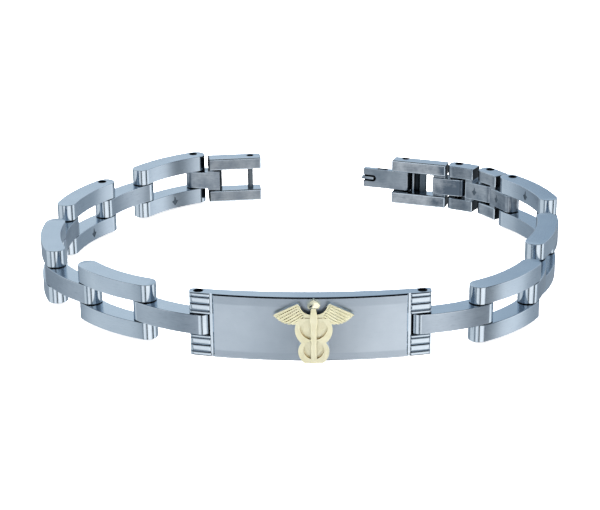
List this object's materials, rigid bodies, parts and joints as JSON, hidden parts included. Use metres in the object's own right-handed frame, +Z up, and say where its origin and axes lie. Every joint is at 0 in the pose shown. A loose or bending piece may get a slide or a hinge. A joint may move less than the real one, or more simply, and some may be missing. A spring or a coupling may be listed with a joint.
{
  "type": "medical alert bracelet",
  "caption": "Steel medical alert bracelet with a curved name plate and raised gold emblem, on a chain of single links and paired rails, standing on its edge with its lever clasp open",
  "frame": {"origin": "middle of the overall size in plan, on the surface that the bracelet stands on", "axes": "+X along the name plate to the side with the clasp box and lever, +Y from the name plate to the clasp, +Z up along the pins"},
  "size_m": [0.0844, 0.0708, 0.01],
  "materials": {
    "plate_steel": "satin with a polished edge",
    "rail_steel": "brushed top and outer face, polished round ends",
    "link_steel": "brushed, lightly scratched",
    "clasp_steel": "brushed, with bright bevels",
    "pin_steel": "cut ends, dull",
    "emblem_gold": "pale satin gold"
  },
  "bodies": {
    "chain": {"name_plate": "plate_steel", "emblem": "emblem_gold", "left_link_1": "link_steel", "left_link_2": "link_steel", "left_link_3": "link_steel", "left_link_4": "link_steel", "left_rail_1_top": "rail_steel", "left_rail_1_bottom": "rail_steel", "left_rail_2_top": "rail_steel", "left_rail_2_bottom": "rail_steel", "left_rail_3_top": "rail_steel", "left_rail_3_bottom": "rail_steel", "left_rail_4_top": "rail_steel", "left_rail_4_bottom": "rail_steel", "left_pin_1": "pin_steel", "left_pin_2": "pin_steel", "left_pin_3": "pin_steel", "left_pin_4": "pin_steel", "left_pin_5": "pin_steel", "left_pin_6": "pin_steel", "left_pin_7": "pin_steel", "left_pin_8": "pin_steel", "left_pin_9": "pin_steel", "clasp_end": "clasp_steel", "catch_bar": "pin_steel", "right_link_1": "link_steel", "right_link_2": "link_steel", "right_link_3": "link_steel", "right_rail_1_top": "rail_steel", "right_rail_1_bottom": "rail_steel", "right_rail_2_top": "rail_steel", "right_rail_2_bottom": "rail_steel", "right_rail_3_top": "rail_steel", "right_rail_3_bottom": "rail_steel", "right_pin_1": "pin_steel", "right_pin_2": "pin_steel", "right_pin_3": "pin_steel", "right_pin_4": "pin_steel", "right_pin_5": "pin_steel", "right_pin_6": "pin_steel", "right_pin_7": "pin_steel", "right_pin_8": "pin_steel", "right_pin_9": "pin_steel", "short_link_1": "clasp_steel", "short_link_2": "clasp_steel", "clasp_box": "clasp_steel", "lever_pin": "pin_steel"},
    "lever": {"clasp_lever": "clasp_steel"}
  },
  "joints": [
    {"name": "lever_hinge", "type": "hinge", "parent": "chain", "child": "lever", "pos_m": [0.01779, 0.03169, 0.005], "axis": [0, 0, 1], "range_deg": [0, 130]}
  ]
}
